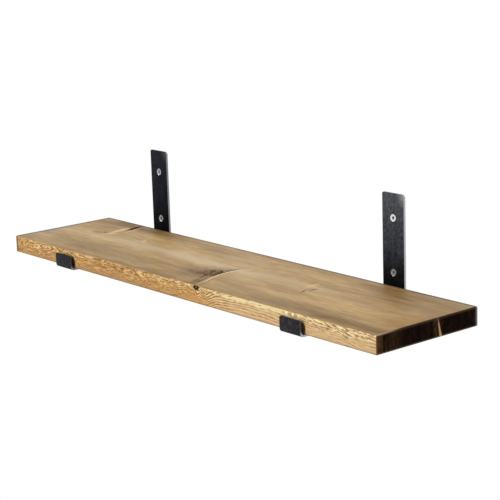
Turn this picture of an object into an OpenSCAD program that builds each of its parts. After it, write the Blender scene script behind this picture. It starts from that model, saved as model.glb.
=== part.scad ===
// Wall shelf: a softwood board carried by two bent flat-bar brackets.
// Origin: centre of the four wall screws, on the wall plane. +X runs right along
// the shelf, +Y goes into the wall, +Z is up. Sizes in millimetres.

/* [Board] */
// Length of the board along the wall
board_l = 1000; // [700:10:1800]
// Depth of the board, back edge to front edge
board_d = 225; // [150:1:320]
// Thickness of the board
board_t = 32; // [26:1:50]
// Radius eased on the two long top edges
top_arris_r = 3; // [0.5:0.5:8]
// Radius eased on the upright edges at the board's ends
end_arris_r = 4; // [0.5:0.5:10]
// Radius eased on the level edges of the board's ends
end_face_arris_r = 2; // [0.5:0.5:5]

/* [Bracket] */
// Width of the flat bar
bar_w = 50; // [30:1:80]
// Thickness of the flat bar
bar_t = 4; // [4:0.5:8]
// Inside radius of both bends
bend_in_r = 3; // [1:0.5:6]
// Height of the upright, from the underside of the leg
upright_h = 192; // [150:1:300]
// Height of the front lip, from the underside of the leg
lip_h = 27; // [20:1:40]
// Play between the board's front edge and the lip
lip_play = 2; // [0.5:0.5:6]
// Radius ground on the upright's top left corner
upright_left_r = 3; // [0.5:0.5:12]
// Radius ground on the upright's top right corner
upright_right_r = 6; // [0.5:0.5:12]
// Radius ground on both corners of the lip
lip_corner_r = 3; // [0.5:0.5:8]

/* [Bracket places] */
// Left end of the board to the middle of the left bracket
left_overhang = 175; // [60:1:300]
// Right end of the board to the middle of the right bracket
right_overhang = 187; // [60:1:300]
// Top of the board to the lower wall screw
lower_hole_rise = 23; // [12:1:50]
// Top of the upright down to the upper wall screw
upper_hole_drop = 41; // [12:1:60]
// Board's front and back edges to the middles of its screws
board_screw_inset = 55; // [25:1:65]

/* [Wall screws] */
// Outside diameter of the thread
wall_screw_d = 6; // [5:0.1:7]
// Length, head included
wall_screw_l = 60; // [30:1:100]
// Diameter of the countersunk head
wall_head_d = 12; // [10:0.1:12.5]
// Diameter of the plain neck between head and thread
wall_neck_d = 5.4; // [3:0.1:5.6]
// Length of the taper at the point
wall_point_l = 9; // [4:0.5:14]
// Width across the cross recess
wall_recess_span = 6.6; // [4:0.1:7]
// Width of the cross recess's slots
wall_recess_w = 1.6; // [0.8:0.1:2]

/* [Board screws] */
// Outside diameter of the thread
board_screw_d = 4; // [3:0.1:5]
// Length, head included
board_screw_l = 25; // [14:1:28]
// Diameter of the countersunk head
board_head_d = 8; // [6.5:0.1:10]
// Diameter of the plain neck between head and thread
board_neck_d = 2.9; // [2:0.1:2.9]
// Length of the taper at the point
board_point_l = 6; // [2:0.5:8]
// Width across the cross recess
board_recess_span = 4.4; // [2.5:0.1:4.6]
// Width of the cross recess's slots
board_recess_w = 1.1; // [0.6:0.1:1.4]

/* [Fits] */
// Bracket hole wider than the thread, on the diameter
hole_play = 0.5; // [0.2:0.1:1]
// Countersink wider than the head, on the radius
seat_play = 0.05; // [0.02:0.01:0.2]
// Hole in the board wider than the thread, on the radius
thread_play = 0.05; // [0.02:0.01:0.2]
// Depth of the pilot hole past the screw's point
pilot_spare = 1; // [0.5:0.5:2]
// Board's back lower edge eased by this much more than the bend it lies in
bend_play = 0.5; // [0.1:0.1:2]

/* [Screw heads] */
// Straight rim of a head above its cone
head_land = 0.3; // [0.2:0.1:0.6]
// Top of a head below the face of the bar
head_sink = 0.2; // [0.1:0.1:0.5]

/* [Hidden] */
$fn = 64;
// how far a cutter runs past the face that it cuts
cut_over = 1;
// blunt end of a screw's point
tip_r = 0.4;
// plain neck that is left between a head's cone and the thread
least_neck = 0.2;

hole_d_wall = wall_screw_d + hole_play;
hole_d_board = board_screw_d + hole_play;

bend_out_r = bend_in_r + bar_t;
bottom_arris_r = bend_in_r + bend_play;
bracket_d = bar_t + board_d + lip_play + bar_t;

// heights above the underside of the leg
lower_hole_h = bar_t + board_t + lower_hole_rise;
upper_hole_h = upright_h - upper_hole_drop;

// places in the part's own frame
bracket_span = board_l - left_overhang - right_overhang;
left_x = -bracket_span / 2;
right_x = bracket_span / 2;
board_x = left_x - left_overhang;
board_back_y = -bar_t;
leg_z = -(lower_hole_h + upper_hole_h) / 2;
board_z = leg_z + bar_t;
rear_screw_y = board_back_y - board_screw_inset;
front_screw_y = board_back_y - board_d + board_screw_inset;

// from the top of a head to the back of the bar, where the thread starts
through_bar = bar_t - head_sink;
pilot_depth = board_screw_l - through_bar + pilot_spare;

wood_colour = "#b48c5a";
steel_colour = "#2b2d31";
zinc_colour = "#c6cacf";

// ---- plane shapes ----

// What is cut from a square corner at the origin to round it
module corner_waste(r) {
    difference() {
        translate([-cut_over, -cut_over]) square(r + cut_over);
        translate([r, r]) circle(r);
    }
}

// Rectangle from the origin with its corners rounded, anticlockwise from the origin's
module rounded_rect(w, h, radii) {
    corners = [[0, 0], [w, 0], [w, h], [0, h]];
    difference() {
        square([w, h]);
        for (i = [0:3]) {
            translate(corners[i]) rotate(90 * i) corner_waste(radii[i]);
        }
    }
}

// Side view of a bracket: first axis away from the wall, second axis up
module bracket_profile() {
    difference() {
        square([bracket_d, upright_h]);
        for (side = [0, 1]) {
            translate([side * bracket_d, 0]) mirror([side, 0]) corner_waste(bend_out_r);
        }
        translate([bar_t, bar_t]) {
            difference() {
                square([bracket_d - 2 * bar_t, upright_h]);
                for (side = [0, 1]) {
                    translate([side * (bracket_d - 2 * bar_t), 0]) mirror([side, 0]) corner_waste(bend_in_r);
                }
            }
        }
        translate([bracket_d - bar_t - cut_over, lip_h]) square([bar_t + 2 * cut_over, upright_h]);
    }
}

// ---- screws, along +Z from the top of the head ----

module screw(d, l, point_l, neck_d, head_d, recess_span, recess_w) {
    // a right-angled cone is as long as its radius shrinks
    cone_l = (head_d - neck_d) / 2;
    thread_start = max(through_bar, head_land + cone_l + least_neck);
    recess_depth = 0.7 * cone_l;
    difference() {
        rotate_extrude() {
            polygon([
                [0, 0],
                [head_d / 2, 0],
                [head_d / 2, head_land],
                [neck_d / 2, head_land + cone_l],
                [neck_d / 2, thread_start],
                [d / 2, thread_start],
                [d / 2, l - point_l],
                [tip_r, l],
                [0, l]
            ]);
        }
        for (turn = [0, 90]) {
            rotate(turn) cross_slot(recess_span, recess_w, recess_depth);
        }
    }
}

// One slot of a cross recess, narrowing with depth
module cross_slot(span, w, depth) {
    foot = 0.4 * span;
    translate([0, w / 2, 0]) rotate([90, 0, 0]) linear_extrude(w) {
        polygon([
            [-span / 2, -cut_over],
            [span / 2, -cut_over],
            [span / 2, 0],
            [foot / 2, depth],
            [-foot / 2, depth],
            [-span / 2, 0]
        ]);
    }
}

// Hole for such a screw through the bar, along +Z from the face that it enters
module screw_hole(hole_d, head_d) {
    rim_r = head_d / 2 + head_land + head_sink + seat_play;
    translate([0, 0, -cut_over]) cylinder(d = hole_d, h = bar_t + 2 * cut_over);
    translate([0, 0, -cut_over]) cylinder(r1 = rim_r + cut_over, r2 = 0, h = rim_r + cut_over);
}

// ---- bracket ----

// Puts what points along +Z, away from the room, at a wall screw's place
module at_wall_screw(x, h) {
    translate([x, -bar_t, leg_z + h]) rotate([-90, 0, 0]) children();
}

// Puts what points along +Z, up into the board, at a board screw's place
module at_board_screw(x, y) {
    translate([x, y, leg_z]) children();
}

// Rounds the two top corners of an upright flat, from y_front back through the bar
module flat_corners(h, y_front, left_r, right_r) {
    translate([0, y_front + bar_t + cut_over, h]) rotate([90, 0, 0]) linear_extrude(bar_t + 2 * cut_over) {
        translate([-bar_w / 2, 0]) rotate(270) corner_waste(left_r);
        translate([bar_w / 2, 0]) rotate(180) corner_waste(right_r);
    }
}

module bracket(x) {
    color(steel_colour) difference() {
        translate([x, 0, leg_z]) difference() {
            // the profile's axes go to -Y and +Z, and its thickness to X
            translate([bar_w / 2, 0, 0]) rotate([90, 0, -90]) linear_extrude(bar_w) bracket_profile();
            flat_corners(upright_h, -bar_t, upright_left_r, upright_right_r);
            flat_corners(lip_h, -bracket_d, lip_corner_r, lip_corner_r);
        }
        for (h = [lower_hole_h, upper_hole_h]) {
            at_wall_screw(x, h) screw_hole(hole_d_wall, wall_head_d);
        }
        for (y = [rear_screw_y, front_screw_y]) {
            at_board_screw(x, y) screw_hole(hole_d_board, board_head_d);
        }
    }
}

module wall_screw(x, h) {
    color(zinc_colour) at_wall_screw(x, h) translate([0, 0, head_sink]) {
        screw(
            wall_screw_d, wall_screw_l, wall_point_l, wall_neck_d,
            wall_head_d, wall_recess_span, wall_recess_w
        );
    }
}

module board_screw(x, y) {
    color(zinc_colour) at_board_screw(x, y) translate([0, 0, head_sink]) {
        screw(
            board_screw_d, board_screw_l, board_point_l, board_neck_d,
            board_head_d, board_recess_span, board_recess_w
        );
    }
}

// ---- board ----

// Board with all its edges eased, from its back left lower corner
module eased_board() {
    side = [bottom_arris_r, bottom_arris_r, top_arris_r, top_arris_r];
    plan = [end_arris_r, end_arris_r, end_arris_r, end_arris_r];
    front = [end_face_arris_r, end_face_arris_r, end_face_arris_r, end_face_arris_r];
    intersection() {
        translate([board_l, 0, 0]) rotate([90, 0, -90]) linear_extrude(board_l) rounded_rect(board_d, board_t, side);
        translate([0, -board_d, 0]) linear_extrude(board_t) rounded_rect(board_l, board_d, plan);
        rotate([90, 0, 0]) linear_extrude(board_d) rounded_rect(board_l, board_t, front);
    }
}

module board() {
    color(wood_colour) difference() {
        translate([board_x, board_back_y, board_z]) eased_board();
        for (x = [left_x, right_x], y = [rear_screw_y, front_screw_y]) {
            translate([x, y, board_z - cut_over]) {
                cylinder(r = board_screw_d / 2 + thread_play, h = pilot_depth + cut_over);
            }
        }
    }
}

board();
bracket(left_x);  // bracket_left
bracket(right_x);  // bracket_right
wall_screw(left_x, upper_hole_h);  // wall_screw_left_upper
wall_screw(left_x, lower_hole_h);  // wall_screw_left_lower
wall_screw(right_x, upper_hole_h);  // wall_screw_right_upper
wall_screw(right_x, lower_hole_h);  // wall_screw_right_lower
board_screw(left_x, rear_screw_y);  // board_screw_left_rear
board_screw(left_x, front_screw_y);  // board_screw_left_front
board_screw(right_x, rear_screw_y);  // board_screw_right_rear
board_screw(right_x, front_screw_y);  // board_screw_right_front
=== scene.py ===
import math
import bmesh
import bpy
from mathutils import Matrix, Vector, noise


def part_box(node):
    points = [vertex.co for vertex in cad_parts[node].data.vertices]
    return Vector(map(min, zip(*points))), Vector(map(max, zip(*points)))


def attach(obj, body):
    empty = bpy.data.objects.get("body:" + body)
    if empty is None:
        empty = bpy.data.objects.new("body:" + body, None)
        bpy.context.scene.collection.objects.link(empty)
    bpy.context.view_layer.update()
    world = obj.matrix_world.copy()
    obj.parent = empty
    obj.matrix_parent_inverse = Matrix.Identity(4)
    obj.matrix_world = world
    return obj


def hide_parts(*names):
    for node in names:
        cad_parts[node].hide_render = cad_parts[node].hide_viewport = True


# Wall shelf: a stained softwood board on two bent flat-bar brackets, with its screws.
# Metres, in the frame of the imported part: +X along the shelf, +Y into the wall, +Z up.

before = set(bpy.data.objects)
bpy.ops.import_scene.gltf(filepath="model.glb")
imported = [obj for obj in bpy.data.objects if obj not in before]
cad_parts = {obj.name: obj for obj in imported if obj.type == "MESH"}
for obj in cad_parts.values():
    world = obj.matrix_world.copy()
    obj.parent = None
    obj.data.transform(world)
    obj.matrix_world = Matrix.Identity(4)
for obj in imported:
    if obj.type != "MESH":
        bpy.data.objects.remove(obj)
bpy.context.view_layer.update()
scene = bpy.context.scene
print("frame loaded:", sorted(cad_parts))


camera = {
    "place": (2.1539, -1.8335, 0.6052),
    "azimuth": 50.314,  # turned from straight ahead towards +X
    "elevation": 13.204,
    "roll": -1.876,
    "lens": 115.88,
    "sensor": 36,
    "farthest": 400,
}


def makeCamera():
    turn, rise, roll = (math.radians(camera[k]) for k in ("azimuth", "elevation", "roll"))
    back = Vector((math.sin(turn) * math.cos(rise), -math.cos(turn) * math.cos(rise), math.sin(rise)))
    side = (-back).cross(Vector((0, 0, 1))).normalized()
    up = side.cross(-back)
    sideRolled = math.cos(roll) * side + math.sin(roll) * up
    upRolled = math.cos(roll) * up - math.sin(roll) * side
    facing = Matrix((sideRolled, upRolled, back)).transposed().to_4x4()
    bpy.ops.object.camera_add()
    eye = bpy.context.object
    eye.name = "camera"
    eye.matrix_world = Matrix.Translation(camera["place"]) @ facing
    eye.data.lens = camera["lens"]
    eye.data.sensor_width = camera["sensor"]
    eye.data.clip_end = camera["farthest"]
    scene.camera = eye


makeCamera()
print("camera made")


def toLinear(code):
    # sRGB hex to the linear colour that Blender's sockets take
    parts = [int(code[i:i + 2], 16) / 255 for i in (1, 3, 5)]
    return [p / 12.92 if p <= 0.04045 else ((p + 0.055) / 1.055) ** 2.4 for p in parts] + [1]


def addNode(tree, kind, values, out=0):
    # a key is a socket's name or its number, or else a setting of the node; a value that is a socket is
    # linked; gives back one output
    node = tree.nodes.new("ShaderNode" + kind)
    for key, value in values.items():
        if isinstance(key, str) and key not in node.inputs:
            setattr(node, key, value)
        elif isinstance(value, bpy.types.NodeSocket):
            tree.links.new(value, node.inputs[key])
        else:
            node.inputs[key].default_value = value
    return node.outputs[out] if node.outputs else None


def rampStops(socket, stops, blend="LINEAR"):
    # gives a colour ramp its stops, from a list of place and hex colour or plain level
    ramp = socket.node.color_ramp
    ramp.interpolation = blend
    while len(ramp.elements) < len(stops):
        ramp.elements.new(0.5)
    for element, (where, code) in zip(ramp.elements, stops):
        element.position = where
        element.color = toLinear(code) if isinstance(code, str) else (code, code, code, 1)
    return socket


def startMaterial(name):
    made = bpy.data.materials.new(name)
    made.use_nodes = True
    made.node_tree.nodes.clear()
    return made, made.node_tree


def endMaterial(tree, values, relief=None):
    # the shader with its values, over a relief of a pattern, its strength and its depth in metres
    if relief:
        pattern, strength, depth = relief
        bump = addNode(tree, "Bump", {"Height": pattern, "Strength": strength, "Distance": depth})
        values = {**values, "Normal": bump}
    addNode(tree, "OutputMaterial", {"Surface": addNode(tree, "BsdfPrincipled", values)})


def deselectAll():
    if bpy.context.mode != "OBJECT":
        bpy.ops.object.mode_set(mode="OBJECT")
    bpy.ops.object.select_all(action="DESELECT")


def selectOnly(piece):
    deselectAll()
    piece.select_set(True)
    bpy.context.view_layer.objects.active = piece


def edit(piece):
    selectOnly(piece)
    bpy.ops.object.mode_set(mode="EDIT")


def pick(piece, what, test):
    # selects the faces, edges or corners that pass the test, and nothing else
    bpy.ops.mesh.select_mode(type=what)
    bpy.ops.mesh.select_all(action="DESELECT")
    form = bmesh.from_edit_mesh(piece.data)
    items = {"FACE": form.faces, "EDGE": form.edges, "VERT": form.verts}[what]
    for item in items:
        item.select_set(bool(test(item)))
    bmesh.update_edit_mesh(piece.data)


def runsAlong(edge, axis):
    # true for an edge that runs straight along one axis: 0, 1 or 2
    span = edge.verts[0].co - edge.verts[1].co
    return abs(abs(span[axis]) - span.length) < 1e-6


def bakePlace():
    # the selected piece's place, turn and scale go into its mesh
    bpy.ops.object.transform_apply(location=True, rotation=True, scale=True)


def boxMiddle(node):
    low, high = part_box(node)
    return (low + high) / 2


def applyModifier(piece, kind, settings):
    selectOnly(piece)
    added = piece.modifiers.new(kind.lower(), kind)
    for key, value in settings.items():
        setattr(added, key, value)
    bpy.ops.object.modifier_apply(modifier=added.name)


def settle(piece, name, node):
    # the piece takes its node's stead
    selectOnly(piece)
    bakePlace()
    piece.name = name
    piece.data.name = name
    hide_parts(node)
    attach(piece, "root")


def tidyMesh(piece, smoothDegrees):
    # doubles merged first, then faces turned outwards, then smooth up to an angle
    edit(piece)
    bpy.ops.mesh.select_all(action="SELECT")
    bpy.ops.mesh.remove_doubles(threshold=1e-6)
    bpy.ops.mesh.normals_make_consistent(inside=False)
    selectOnly(piece)
    bpy.ops.object.shade_smooth_by_angle(angle=math.radians(smoothDegrees))


board = {
    "cornerRadius": 0.004,  # upright edges at the ends
    "topRadius": 0.003,
    "underRadius": 0.0035,
    "endRadius": 0.002,
    "cutsAlong": 399,
    "cutsUpFront": 21,
    "cutsAcrossTop": 27,
    "brushDepth": 0.0006,  # how deep the soft grain of the front is brushed out
    "brushSkin": 0.0012,  # and how far in from the face it reaches round the arrises
    "brushAlong": 14,  # how close together its hollows are, along and up
    "brushUp": 90,
    "endMargin": 0.006,  # no relief so near the ends
    "wearDepth": 0.0012,  # how far the top front arris is worn back
    "wearIn": 0.004,  # and how far in and down from it the wear reaches
    "wearDown": 0.006,
    "wearLumps": 40,  # to the metre
    "knotAt": (0.067, -0.0036),  # along from the board's middle, up from its top
    "knotSize": (0.0072, 0.0050),
    "knotDepth": 0.0022,
    "topDark": "#775a33",
    "topTan": "#997c50",
    "topLight": "#b29364",
    "orange": "#94693a",
    "grey": "#786a50",
    "frontLate": "#8a5a2a",
    "frontGold": "#b98c55",
    "frontPale": "#d6aa68",
    # pale flecks, partly a painted highlight
    "fleck": "#f8e3a8",
    "peach": "#dfbd8e",
    "endDark": "#0d0704",
    "endMiddle": "#190f09",
    "endBrown": "#2c1c12",
    "endPale": "#b08d62",
    "sawnDark": "#7d5c38",
    "sawnTan": "#9a754a",
    "sawnLight": "#b08a5c",
}


def boardPlace(tree):
    # place on the board in metres: along from its middle, in from its front face, up from its top
    low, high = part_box("board")
    start = ((low.x + high.x) / 2, low.y, high.z)
    place = addNode(tree, "TexCoord", {}, 3)
    return addNode(tree, "VectorMath", {"operation": "SUBTRACT", 0: place, 1: start})


def shaken(tree, place, reach, blots):
    # the place moved about by noise, by up to half the reach each way, with so many blots to the metre
    shake = addNode(tree, "TexNoise", {"Vector": place, "Scale": blots, "Detail": 3}, 1)
    shake = addNode(tree, "VectorMath", {"operation": "SUBTRACT", 0: shake, 1: (0.5, 0.5, 0.5)})
    return addNode(tree, "VectorMath", {"operation": "MULTIPLY_ADD", 0: shake, 1: reach, 2: place})


def spotMask(tree, place, centre, size, turn=(0, 0, 0), soft=0.7, roughen=0.0, blots=90):
    # 1 inside an ellipse on the board, fading to 0 over its outer part, its outline roughened by so much
    if roughen:
        place = shaken(tree, place, (roughen, roughen, roughen), blots)
    local = addNode(tree, "Mapping", {"vector_type": "TEXTURE", "Vector": place, "Location": centre,
                                      "Rotation": turn, "Scale": size})
    reach = addNode(tree, "VectorMath", {"operation": "LENGTH", 0: local}, 1)
    return addNode(tree, "MapRange", {"interpolation_type": "SMOOTHSTEP", "Value": reach,
                                      "From Min": 1 - soft, "From Max": 1, "To Min": 1, "To Max": 0})


def topSpot(tree, place, centre, size, turn=0, soft=0.7, roughen=0.0, blots=90):
    # the same on the top face alone, whatever the height
    turned = (0, 0, math.radians(turn))
    return spotMask(tree, place, (*centre, 0), (*size, 1), turned, soft, roughen, blots)


def frontSpot(tree, place, centre, size, soft, roughen=0.0):
    # the same on the front face, however far in
    return spotMask(tree, place, (centre[0], 0, centre[1]), (size[0], 1, size[1]), soft=soft, roughen=roughen)


def grainNoise(tree, place, lengths, detail=3, roughness=0.55, start=(0, 0, 0), turn=0):
    # noise whose blots have these sizes in millimetres along X, Y and Z, all turned about Z
    own = addNode(tree, "Mapping", {"vector_type": "TEXTURE", "Vector": place, "Location": start,
                                    "Rotation": (0, 0, math.radians(turn)),
                                    "Scale": [v / 1000 for v in lengths]})
    return addNode(tree, "TexNoise", {"Vector": own, "Scale": 1, "Detail": detail, "Roughness": roughness})


def tint(tree, base, code, mask, share=1.0, within=None):
    # lays a colour over another where the mask is 1, up to its share, and only within a second mask if given
    for factor in (within, share):
        if factor not in (None, 1):
            mask = addNode(tree, "Math", {"operation": "MULTIPLY", 0: mask, 1: factor})
    return addNode(tree, "Mix", {"data_type": "RGBA", 0: mask, 6: base, 7: toLinear(code)}, 2)


def tintPast(tree, base, code, value, start, full, share=1.0):
    # the same past a place: none of the colour where the value is at its start, all of it where it is full
    return tint(tree, base, code, addNode(tree, "MapRange", {0: value, 1: start, 2: full}), share)


def shadeBy(tree, base, pattern, stops, share, blend="LINEAR"):
    # lightens and darkens a colour by a pattern, through stops of grey
    grey = rampStops(addNode(tree, "ValToRGB", {"Fac": pattern}), stops, blend)
    return addNode(tree, "Mix", {"data_type": "RGBA", "blend_type": "OVERLAY", 0: share, 6: base, 7: grey}, 2)


def onCurve(tree, value, points):
    # the height of a smooth curve through these points, from the value along it
    first, last = points[0][0], points[-1][0]
    least, most = min(q[1] for q in points), max(q[1] for q in points)
    bow = addNode(tree, "FloatCurve", {"Value": addNode(tree, "MapRange", {0: value, 1: first, 2: last})})
    line = bow.node.mapping.curves[0]
    while len(line.points) < len(points):
        line.points.new(0.5, 0.5)
    for dot, (along, height) in zip(line.points, points):
        dot.location = ((along - first) / (last - first), (height - least) / (most - least))
    bow.node.mapping.update()
    return addNode(tree, "MapRange", {0: bow, 1: 0, 2: 1, 3: least, 4: most})


topMarks = {
    # centre line of the large spike knot: places in from the front and along the board
    "spike": [(0.0, 0.069), (0.029, 0.0575), (0.060, 0.0445), (0.088, 0.038), (0.114, 0.0375),
              (0.131, 0.0475), (0.141, 0.062), (0.150, 0.080)],
    # lines beside it: colour, strength, distance to its right, half width, middle and reach in from the front
    "spikeLines": [
        ("#e2c69c", 0.85, 0.0, 0.0028, 0.088, 0.080),
        ("#33210f", 0.62, 0.0050, 0.0017, 0.026, 0.030),
        ("#1d1108", 0.95, -0.0048, 0.0021, 0.096, 0.044),
        ("#3a2614", 0.62, -0.0110, 0.0026, 0.024, 0.034),
        ("#4a3018", 0.50, -0.0200, 0.0032, 0.034, 0.040),
    ],
    # dark wood left of it: colour, centre, half size, turn, strength, least strength between the feathers
    "smudges": [
        ("#5a3f20", (0.008, 0.068), (0.058, 0.066), -30, 0.70, 0.40),
        ("#1a0a02", (0.030, 0.082), (0.042, 0.056), -28, 1.0, 0.30),
        ("#4a2d12", (0.044, 0.026), (0.022, 0.032), -20, 0.70, 0.20),
    ],
    # a painted sheen: the same lightness all along, by the place in from the front
    "sheenBand": [(0.0, 0.64), (0.12, 0.70), (0.25, 0.74), (0.42, 0.84), (0.60, 0.88), (0.75, 0.80), (0.9, 0.72),
               (1.0, 0.66)],
    # broad clouds in the stain: colour, strength, centre, half size
    "clouds": [
        ("#d3bc99", 0.60, (-0.080, 0.120), (0.56, 0.040)),
        ("#cdb592", 0.40, (0.000, 0.172), (0.18, 0.022)),
        ("#7a6240", 0.30, (0.100, 0.214), (0.26, 0.016)),
        ("#c9b08c", 0.40, (-0.460, 0.052), (0.05, 0.030)),
        ("#705a38", 0.50, (-0.300, 0.057), (0.22, 0.044)),
        ("#70542f", 0.45, (0.414, 0.157), (0.22, 0.090)),
        ("#684a24", 0.65, (0.390, 0.019), (0.30, 0.026)),
        ("#cbaa7c", 0.45, (0.200, 0.060), (0.15, 0.026)),
        ("#66481f", 0.45, (0.340, 0.189), (0.11, 0.034)),
        ("#60431c", 0.60, (-0.300, 0.203), (0.20, 0.030)),
        ("#6d5431", 0.40, (0.494, 0.100), (0.06, 0.140)),
        ("#574427", 0.65, (-0.426, 0.204), (0.12, 0.040)),
        ("#644622", 0.50, (-0.200, 0.008), (0.40, 0.013)),
        ("#6e5a3c", 0.45, (-0.015, 0.055), (0.080, 0.050)),
    ],
    "backArris": "#33240f",
    "leftArris": "#4a4036",
    "frontArris": "#a8824f",
    # small marks: colour, strength, centre, half size, turn in degrees, softness, roughness
    "marks": [
        ("#e0c59a", 0.85, (-0.382, 0.166), (0.009, 0.036), 8, 0.7, 0.010),
        ("#d9bd8e", 0.70, (-0.370, 0.140), (0.016, 0.008), 34, 0.7, 0.008),
        ("#150b04", 0.95, (-0.375, 0.195), (0.0080, 0.032), 14, 0.6, 0.006),
        ("#e0c29a", 0.60, (-0.362, 0.180), (0.0050, 0.034), 14, 0.8, 0.008),
        ("#4a3018", 0.80, (-0.391, 0.138), (0.007, 0.008), 0, 0.7, 0.006),
        ("#6f4f2a", 0.55, (-0.404, 0.128), (0.024, 0.012), 0, 0.8, 0.008),
        ("#d8bb85", 0.60, (-0.270, 0.142), (0.018, 0.007), -35, 0.8, 0.008),
        ("#25160a", 0.80, (0.234, 0.116), (0.0034, 0.014), -10, 0.8, 0.005),
        ("#25160a", 0.80, (0.230, 0.098), (0.0034, 0.012), 14, 0.8, 0.005),
        ("#dcc08c", 0.50, (0.214, 0.130), (0.007, 0.030), 6, 0.8, 0.010),
        ("#2a1a0c", 0.70, (0.384, 0.177), (0.036, 0.0020), 0, 0.6, 0.002),
        ("#c8a15c", 0.55, (0.345, 0.077), (0.110, 0.0075), 2, 0.9, 0.008),
        ("#c39a55", 0.45, (0.300, 0.112), (0.060, 0.0060), -2, 0.9, 0.008),
        ("#b07f42", 0.50, (0.482, 0.085), (0.017, 0.085), 3, 0.9, 0.016),
        # painted sheen along the left end of the top
        ("#8f8b84", 0.55, (-0.492, 0.090), (0.024, 0.130), 0, 0.9, 0.008),
    ],
}


def topGrain(tree, place, inward):
    # straight streaks of three sizes; the finest stand for grain lines 1 mm apart, drawn wider to show
    sway = grainNoise(tree, place, (170, 60, 200), 2)
    sway = addNode(tree, "Math", {"operation": "MULTIPLY", 0: sway, 1: 0.030})
    swayed = addNode(tree, "VectorMath", {0: place, 1: addNode(tree, "CombineXYZ", {"Y": sway})})
    tone = rampStops(addNode(tree, "ValToRGB", {"Fac": grainNoise(tree, swayed, (260, 34, 200), 3)}),
                     [(0.25, board["topDark"]), (0.48, board["topTan"]), (0.75, board["topLight"])])
    for lengths, dark, light, share in (((90, 9, 200), "#989898", "#dedede", 0.40),
                                        ((30, 2.8, 200), "#7c7c7c", "#f4f4f4", 0.30)):
        tone = shadeBy(tree, tone, grainNoise(tree, swayed, lengths, 3, 0.6),
                       [(0.3, dark), (0.5, "#bcbcbc"), (0.7, light)], share)
    # a painted sheen, lightest along the middle of its depth
    low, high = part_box("board")
    depth = addNode(tree, "MapRange", {0: inward, 1: 0, 2: high.y - low.y})
    tone = shadeBy(tree, tone, depth, topMarks["sheenBand"], 0.55, "B_SPLINE")
    # warm and grey clouds all over, and the larger ones at their own places
    for code, share, lengths, start in ((board["orange"], 0.45, (130, 32, 200), (3, 1, 0)),
                                        (board["grey"], 0.35, (200, 50, 200), (7, 4, 0))):
        cloud = grainNoise(tree, swayed, lengths, 3, 0.6, start)
        tone = tintPast(tree, tone, code, cloud, 0.52, 0.75, share)
    for code, share, centre, size in topMarks["clouds"]:
        tone = tint(tree, tone, code, topSpot(tree, place, centre, size, 0, 1, 0.03, 22), share)
    return tone


def spikeKnot(tree, place, along, inward, tone):
    # a branch cut along its length: dark feathered wood to its left, a pale ridge, a crack each side
    middle = onCurve(tree, inward, topMarks["spike"])
    beside = addNode(tree, "Math", {"operation": "SUBTRACT", 0: along, 1: middle})
    uneven = grainNoise(tree, place, (16, 12, 200), 2)
    uneven = addNode(tree, "Math", {"operation": "MULTIPLY_ADD", 0: uneven, 1: 0.006, 2: -0.003})
    beside = addNode(tree, "Math", {"operation": "ADD", 0: beside, 1: uneven})
    left = addNode(tree, "MapRange", {0: beside, 1: 0.002, 2: -0.002})
    for code, centre, size, turn, share, least in topMarks["smudges"]:
        # feathered across the grain
        feather = grainNoise(tree, place, (3.4, 15, 200), 4, 0.7, (0, 0, 0), 30)
        feather = addNode(tree, "MapRange", {0: feather, 1: 0.40, 2: 0.60, 3: least})
        feather = addNode(tree, "Math", {"operation": "MULTIPLY", 0: left, 1: feather})
        tone = tint(tree, tone, code, topSpot(tree, place, centre, size, turn, 0.9, 0.03), share, feather)
    for code, share, shift, half, middle, reach in topMarks["spikeLines"]:
        off = addNode(tree, "Math", {"operation": "SUBTRACT", 0: beside, 1: shift})
        off = addNode(tree, "Math", {"operation": "ABSOLUTE", 0: off})
        line = addNode(tree, "MapRange",
                       {"interpolation_type": "SMOOTHSTEP", 0: off, 1: half * 0.3, 2: half * 1.4, 3: 1, 4: 0})
        window = topSpot(tree, place, (0.06, middle), (1, reach), 0, 0.5)
        tone = tint(tree, tone, code, line, share, window)
    return tone


def stainedTop():
    # planed pine under brown wax: soft even streaks, and a sheen that mirrors the uprights at a low angle
    made, tree = startMaterial("waxed planed pine")
    place = boardPlace(tree)
    along, inward = addNode(tree, "SeparateXYZ", {"Vector": place}).node.outputs[:2]
    tone = spikeKnot(tree, place, along, inward, topGrain(tree, place, inward))
    for code, share, centre, size, turn, soft, rough in topMarks["marks"]:
        tone = tint(tree, tone, code, topSpot(tree, place, centre, size, turn, soft, rough), share)

    # darker along the back arris, stain has gathered along the left arris, and the brushed front bites in
    # along its own
    low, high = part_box("board")
    depth, half = high.y - low.y, (high.x - low.x) / 2
    tone = tintPast(tree, tone, topMarks["backArris"], inward, depth - 0.010, depth - 0.003, 0.85)
    tone = tintPast(tree, tone, topMarks["leftArris"], along, 0.0120 - half, 0.0050 - half, 0.8)
    bite = grainNoise(tree, place, (26, 9, 200), 3, 0.65)
    bite = addNode(tree, "Math", {"operation": "MULTIPLY_ADD", 0: bite, 1: 0.020, 2: inward})
    tone = tintPast(tree, tone, topMarks["frontArris"], bite, 0.0130, 0.0105, 0.8)

    # open dark grain takes no polish
    fine = grainNoise(tree, place, (40, 4, 200), 4, 0.65)
    dull = addNode(tree, "RGBToBW", {"Color": tone})
    dull = addNode(tree, "MapRange", {0: dull, 1: 0.02, 2: 0.16, 3: 0.5, 4: 0})
    waxed = addNode(tree, "MapRange", {0: fine, 1: 0.3, 2: 0.7, 3: 0.56, 4: 0.48})
    sheen = addNode(tree, "Math", {"operation": "ADD", 0: dull, 1: waxed})
    endMaterial(tree, {"Base Color": tone, "Roughness": sheen, "Specular IOR Level": 0.22},
                (fine, 0.2, 0.0006))
    return made


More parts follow.
